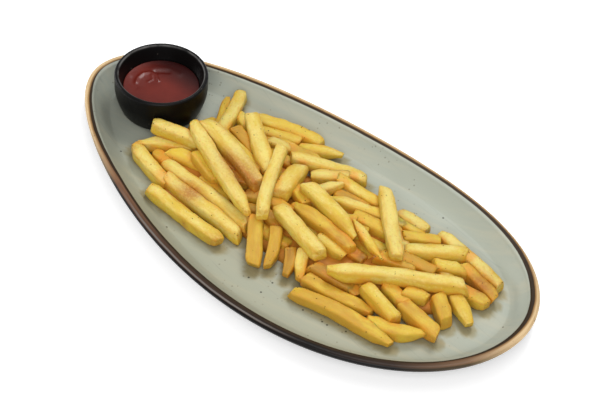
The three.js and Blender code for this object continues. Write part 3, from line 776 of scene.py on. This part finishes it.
def ring_sizes(fry, distance, length, angle, rng):
    """How far out each ring's corners are, and how far each ring leans to the side.

    Ends narrow to their tips and lean there, their edges are rounded, and the sides ripple.
    """
    to_start, to_end = distance[:, None], length - distance[:, None]
    narrow = np.ones((len(distance), 1))
    lean = np.zeros((len(distance), 2))
    for tip, gap in ((fry.tip_start, to_start), (fry.tip_end, to_end)):
        reach = (0.25 + 2.6 * (1 - tip)) * fry.width
        thinner = (1 - tip) * (1 - ease(gap, 0, reach)) ** 1.3
        narrow = narrow * (1 - thinner)
        heading = rng.uniform(0, 2 * math.pi)
        lean = lean + 0.45 * thinner * np.array([math.cos(heading), math.sin(heading)])
    rounding = np.ones((len(distance), 1))
    for gap in (to_start, to_end):
        reach = rng.uniform(0.15, 0.35) * fry.width
        missing = 1 - np.clip(gap / reach, 0, 1)
        rounding = rounding * (1 - rng.uniform(0.08, 0.26) * (1 - np.sqrt(1 - missing**2)))
    sizes = 0.52 * fry.width * narrow * rounding
    for wave, height in RIPPLES:
        for lobes in (0, 1, 2, 3):
            phase, turn = rng.uniform(0, 2 * math.pi, 2)
            period = wave * rng.uniform(0.8, 1.3)
            ripple = np.sin(2 * math.pi * distance[:, None] / period + phase)
            sizes = sizes * (1 + height * ripple * np.cos(lobes * angle + turn))
    return sizes, 0.5 * fry.width * lean


def swaying(distance, width, rng):
    """A slow, slight wave along a fry."""
    period = 55 * rng.uniform(0.8, 1.4)
    return 0.03 * width * np.sin(2 * math.pi * distance / period + rng.uniform(0, 6.3))


def fry_shape(fry, others, rng):
    """Points, faces and attributes of one fry, a square cut bar, among the beads of others."""
    length, along, across, up = fry_axes(fry)
    width = fry.width
    distance = ring_places(length, width)
    outline = bar_outline(rng)
    angle = np.arctan2(outline[:, 1], outline[:, 0])
    sizes, lean = ring_sizes(fry, distance, length, angle, rng)

    share = distance / length
    twist = math.radians(rng.uniform(-7, 7)) * (share - 0.5)[:, None]
    flat = sizes[..., None] * outline + lean[:, None]
    s = flat[..., 0] * np.cos(twist) - flat[..., 1] * np.sin(twist)
    u = flat[..., 0] * np.sin(twist) + flat[..., 1] * np.cos(twist)
    bow = 4 * fry.bend * share * (1 - share)
    middle = np.array(fry.start, float) + distance[:, None] * along + bow[:, None] * sideways(along)
    for direction in (across, up):
        middle = middle + swaying(distance, width, rng)[:, None] * direction
    slant = rng.uniform(-0.45, 0.45, (2, 2))
    shift = 0
    for (slant_s, slant_u), gap in zip(slant, (distance, length - distance)):
        shift = shift + (1 - ease(gap[:, None], 0, 1.2 * width)) * (slant_s * s + slant_u * u)
    rings = middle[:, None] + s[..., None] * across + u[..., None] * up + shift[..., None] * along

    caps = []
    for ring in (rings[0], rings[-1]):
        centre = ring.mean(axis=0)
        caps.append([centre + (ring - centre) * size for size in CAP_RINGS])
    rings = np.concatenate([caps[0], rings, caps[1][::-1]])
    points, faces = loft(rings, rings[0].mean(axis=0), rings[-1].mean(axis=0))

    distance = np.concatenate([[0, 0], distance, [length, length]])
    from_end = np.minimum(distance, length - distance)
    edge = np.abs(np.sin(2 * angle)) ** 3.5
    # Painted shade: the sides and underside get a deeper tone than the top.
    tone = fry.tone + rng.uniform(-0.06, 0.06) + SIDE_SHADE * (0.6 - np.sin(angle))
    home = rng.uniform(0, 900, 3)
    flat_s, flat_u = (np.pad(a, ((2, 2), (0, 0)), "edge") for a in (s, u))
    grain = np.stack([np.broadcast_to(distance[:, None], flat_s.shape), flat_s, flat_u], axis=-1)
    ends = np.array([[0, 0, 0], [length, 0, 0]])
    attributes = {
        "grain": np.concatenate([grain.reshape(-1, 3), ends]) + home,
        "tone": np.concatenate([np.tile(tone, len(rings)), [fry.tone, fry.tone]]),
        "edge": np.concatenate([np.tile(edge, len(rings)), [0, 0]]),
        "browned": brownness(points),
        "crevice_shade": 1 - ease(room_to(points, others), -0.5, 3.0),
        "tip": np.concatenate([np.repeat(1 - ease(from_end, 0, 0.5 * width), FRY_SIDES), [1, 1]]),
    }
    return points, faces, attributes


def brownness(points):
    """How brown each point is by the spots near it, from 0 to 1."""
    total = np.zeros(len(points))
    for x, y, z, reach, strength in BROWNED:
        total += strength * bell(np.linalg.norm(points - (x, y, z), axis=1), reach)
    return np.minimum(total, 1)


def beads(fry):
    """Points along the fry's middle line, each with half the fry's width."""
    start, end = np.array(fry.start, float), np.array(fry.end, float)
    steps = max(2, int(np.linalg.norm(end - start) / BEAD_STEP))
    line = start + np.linspace(0, 1, steps)[:, None] * (end - start)
    return np.column_stack([line, np.full(steps, fry.width / 2)])


def beads_of(fries, left_out=None):
    """The beads of all fries but one."""
    return np.concatenate([beads(fry) for fry in fries if fry is not left_out])


def is_under(points, balls, direction):
    """Whether each point lies behind one of the balls, seen from far off in this direction."""
    apart = balls[None, :, :3] - points[:, None]
    ahead = apart @ direction
    aside = np.linalg.norm(apart - ahead[..., None] * direction, axis=-1)
    return np.any((aside < UNDER_WITHIN * balls[None, :, 3]) & (ahead > UNDER_BY), axis=1)


def tucked(fry, others):
    """The fry with its covered ends run on under the others."""
    start, end = np.array(fry.start, float), np.array(fry.end, float)
    _, along, across, _ = fry_axes(fry)
    moved = []
    for tip, outward in ((start, -along), (end, along)):
        run = 0.0
        while run < TUCK_LIMIT:
            ahead = tip + (run + TUCK_STEP) * outward
            corners = ahead + np.outer([-0.4, 0.0, 0.4], fry.width * across)
            if not all(np.all(is_under(corners, others, view)) for view in (SIGHT, UPWARD)):
                break
            run += TUCK_STEP
        moved.append(tip + run * outward)
    return fry._replace(start=tuple(moved[0]), end=tuple(moved[1]))


def room_to(points, others):
    """Distance from each point to the nearest of others, balls of (x, y, z, radius)."""
    nearest = np.full(len(points), np.inf)
    for x, y, z, radius in others:
        nearest = np.minimum(nearest, np.linalg.norm(points - (x, y, z), axis=1) - radius)
    return nearest


def is_covered(own, shown):
    """Whether most of a fry's beads lie below beads of the fries that show."""
    apart = np.linalg.norm(own[:, None, :2] - shown[None, :, :2], axis=-1)
    above = shown[None, :, 2] > own[:, None, 2] + COVER_RISE
    return np.mean(np.any((apart < COVER_REACH) & above, axis=1)) > COVERED_SHARE


def on_mound(mound, along, across):
    """The x and y of places this far along and across a mound, from its middle."""
    c, s = math.cos(math.radians(mound.heading)), math.sin(math.radians(mound.heading))
    return mound.x + along * c - across * s, mound.y + along * s + across * c


def random_fry(level, reach, rng):
    """A fry at about this level on a mound, or None where the draw falls outside the mound."""
    mound = MOUNDS[rng.integers(len(MOUNDS))]
    spot = rng.uniform(-reach, reach, 2)
    if np.hypot(*spot) > reach:
        return None
    middle = np.array(on_mound(mound, *(spot * (mound.half_length, mound.half_width))))
    direction = rng.uniform(0, math.pi)
    heading = np.array([math.cos(direction), math.sin(direction)])
    half = rng.uniform(*FILLING_HALF_LENGTHS) * heading
    width = rng.uniform(*FILLING_WIDTHS)
    tilt = rng.uniform(-0.8, 0.8)
    return Fry(
        start=(*(middle - half), level - tilt),
        end=(*(middle + half), level + tilt),
        width=width,
        bend=rng.uniform(-1, 1),
        tip_start=rng.uniform(0.7, 1),
        tip_end=rng.uniform(0.7, 1),
        tone=rng.uniform(0.5, 0.9),
        roll=rng.uniform(-8, 8),
    )


def filling_fries(shown, rng):
    """Fries that fill the heap below those that show, drawn at random where they touch no other."""
    shown_beads = beads_of(shown)
    taken = shown_beads
    found = []
    for level, reach in FILLING_LEVELS:
        for _ in range(FILLING_TRIES):
            fry = random_fry(level, reach, rng)
            if fry is None:
                continue
            own = beads(fry)
            if not is_covered(own, shown_beads):
                continue
            gaps = np.linalg.norm(own[:, None, :3] - taken[None, :, :3], axis=-1)
            if np.min(gaps - 0.6 * (own[:, None, 3] + taken[None, :, 3])) < 0:
                continue
            taken = np.concatenate([taken, own])
            found.append(fry)
    return found


def make_fries():
    """The fries, joined in layers. Returns the pieces whose fries show."""
    rng = np.random.default_rng(SEED)
    material = fry_material()
    rows = {
        "fries_lowest": LOWEST_FRIES,
        "fries_middle": MIDDLE_FRIES,
        "fries_upper": UPPER_FRIES,
    }
    shown = sum(rows.values(), [])
    layers = {}
    for name, fries in rows.items():
        layers[name] = [tucked(fry, beads_of(shown, fry)) for fry in fries]
    layers["fries_filling"] = filling_fries(sum(layers.values(), []), rng)
    everything = sum(layers.values(), [])
    pieces = []
    for name, fries in layers.items():
        shapes = [fry_shape(fry, beads_of(everything, fry), rng) for fry in fries]
        piece = new_piece(name, material, *joined(shapes))
        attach(piece, "root")
        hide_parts("fries")
        pieces.append(piece)
    return pieces[: len(rows)]


def scattered_on(pieces, count, rng):
    """Places and normals drawn from the upward faces of pieces, in millimetres."""
    places, normals = [], []
    for piece in pieces:
        for polygon in piece.data.polygons:
            if polygon.normal.z > FLAKE_FACING:
                places.append(np.array(polygon.center) / MM)
                normals.append(np.array(polygon.normal))
    chosen = rng.choice(len(places), count, replace=False)
    return [(places[i], normals[i]) for i in chosen]


def flake(place, normal, length, rng):
    """Points, faces and no attributes of one flat, uneven flake that lies on a surface."""
    side = np.cross(normal, rng.normal(size=3))
    side /= np.linalg.norm(side)
    other = np.cross(normal, side)
    turn = np.arange(FLAKE_CORNERS) / FLAKE_CORNERS * 2 * math.pi
    reach = rng.uniform(0.7, 1.0, FLAKE_CORNERS)
    width = FLAKE_WIDTH * length
    outline = [
        0.5 * r * (length * math.cos(t) * side + width * math.sin(t) * other)
        for r, t in zip(reach, turn)
    ]
    low, high, crown = (rise * FLAKE_THICKNESS * normal for rise in (-0.15, 1.0, 1.1))
    under = [place + point + low for point in outline]
    over = [place + 0.8 * point + high for point in outline]
    points, faces = loft([under, over], place + low, place + crown)
    return points, faces, {}


def make_seasoning(fries):
    """Dried herbs and ground pepper on the fries."""
    rng = np.random.default_rng(SEED + 1)
    flakes = []
    for place, normal in scattered_on(fries, FLAKES, rng):
        flakes.append(flake(place, normal, rng.uniform(*FLAKE_LENGTHS), rng))
    piece = new_piece("herb_flakes", herb_material(), *joined(flakes))
    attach(piece, "root")


def make_core():
    """The mounds inside the heap, which close the gaps between its fries."""
    turn = np.linspace(0, 2 * math.pi, CORE_STEPS, endpoint=False)
    parts = []
    for mound in MOUNDS:
        rings = []
        for share, rise in CORE_RINGS:
            along = share * mound.half_length * np.cos(turn)
            across = share * mound.half_width * np.sin(turn)
            z = np.full(CORE_STEPS, WELL_Z + rise * mound.height)
            rings.append(np.stack([*on_mound(mound, along, across), z], axis=-1))
        low, high = (mound.x, mound.y, WELL_Z + 0.3), (mound.x, mound.y, WELL_Z + mound.height)
        parts.append((*loft(rings, low, high), {}))
    piece = new_piece("fries_core", core_material(), *joined(parts))
    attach(piece, "root")
    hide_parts("fries")


# ---------------------------------------------------------------- studio


def make_camera():
    azimuth, elevation, roll = (
        math.radians(a) for a in (CAMERA_AZIMUTH, CAMERA_ELEVATION, CAMERA_ROLL)
    )
    back = Vector((
        math.sin(azimuth) * math.cos(elevation),
        -math.cos(azimuth) * math.cos(elevation),
        math.sin(elevation),
    ))
    level = Vector((math.cos(azimuth), math.sin(azimuth), 0))
    raised = back.cross(level)
    right = math.cos(roll) * level + math.sin(roll) * raised
    up = math.cos(roll) * raised - math.sin(roll) * level
    camera = bpy.data.objects.new("camera", bpy.data.cameras.new("camera"))
    camera.data.sensor_width = 36.0
    camera.data.lens = CAMERA_LENS
    place = (Vector(CAMERA_TARGET) + back * CAMERA_DISTANCE) * MM
    turn = Matrix((right, up, back)).transposed().to_4x4()
    camera.matrix_world = Matrix.Translation(place) @ turn
    bpy.context.scene.collection.objects.link(camera)
    bpy.context.scene.camera = camera


def make_light(name, place, aim, size, watts):
    """A square softbox at place, in millimetres, turned to aim."""
    light = bpy.data.objects.new(name, bpy.data.lights.new(name, "AREA"))
    light.data.size = size * MM
    light.data.energy = watts
    place, aim = Vector(place) * MM, Vector(aim) * MM
    light.location = place
    light.rotation_mode = "QUATERNION"
    light.rotation_quaternion = (aim - place).to_track_quat("-Z", "Y")
    bpy.context.scene.collection.objects.link(light)


def make_sky():
    """An even, dim studio tent."""
    world = bpy.data.worlds.new("studio")
    world.use_nodes = True
    background = world.node_tree.nodes["Background"]
    background.inputs["Color"].default_value = (1, 1, 1, 1)
    background.inputs["Strength"].default_value = SKY_STRENGTH
    bpy.context.scene.world = world


def make_floor():
    """A white floor that glows a little, so that it shows as white as the studio."""
    bpy.ops.mesh.primitive_plane_add(size=FLOOR_METRES)
    floor = bpy.context.object
    floor.name = "floor"
    glow = {"emission_color": (1, 1, 1, 1), "emission_strength": FLOOR_GLOW}
    s = Shading("floor_white", roughness=0.9, **glow)
    white = s.mix(s.noise(s.place(), 2.0), (0.92, 0.92, 0.92, 1), (0.94, 0.94, 0.94, 1))
    floor.data.materials.append(s.finish(base_color=white))


def make_studio():
    bpy.context.scene.view_settings.view_transform = "Standard"
    make_sky()
    make_floor()
    make_light("light_back", (-160, 620, 1150), (0, 0, 0), 420, 6.8)
    make_light("light_top", (150, 150, 1300), (0, 0, 0), 900, 2.5)
    make_light("light_front", (600, -850, 900), (0, 0, 0), 900, 11.4)
    make_light("light_left", (-1000, -250, 380), (-60, 20, 0), 300, 3)


make_camera()
make_studio()
make_plate()
make_pot()
make_ketchup()
make_core()
make_seasoning(make_fries())
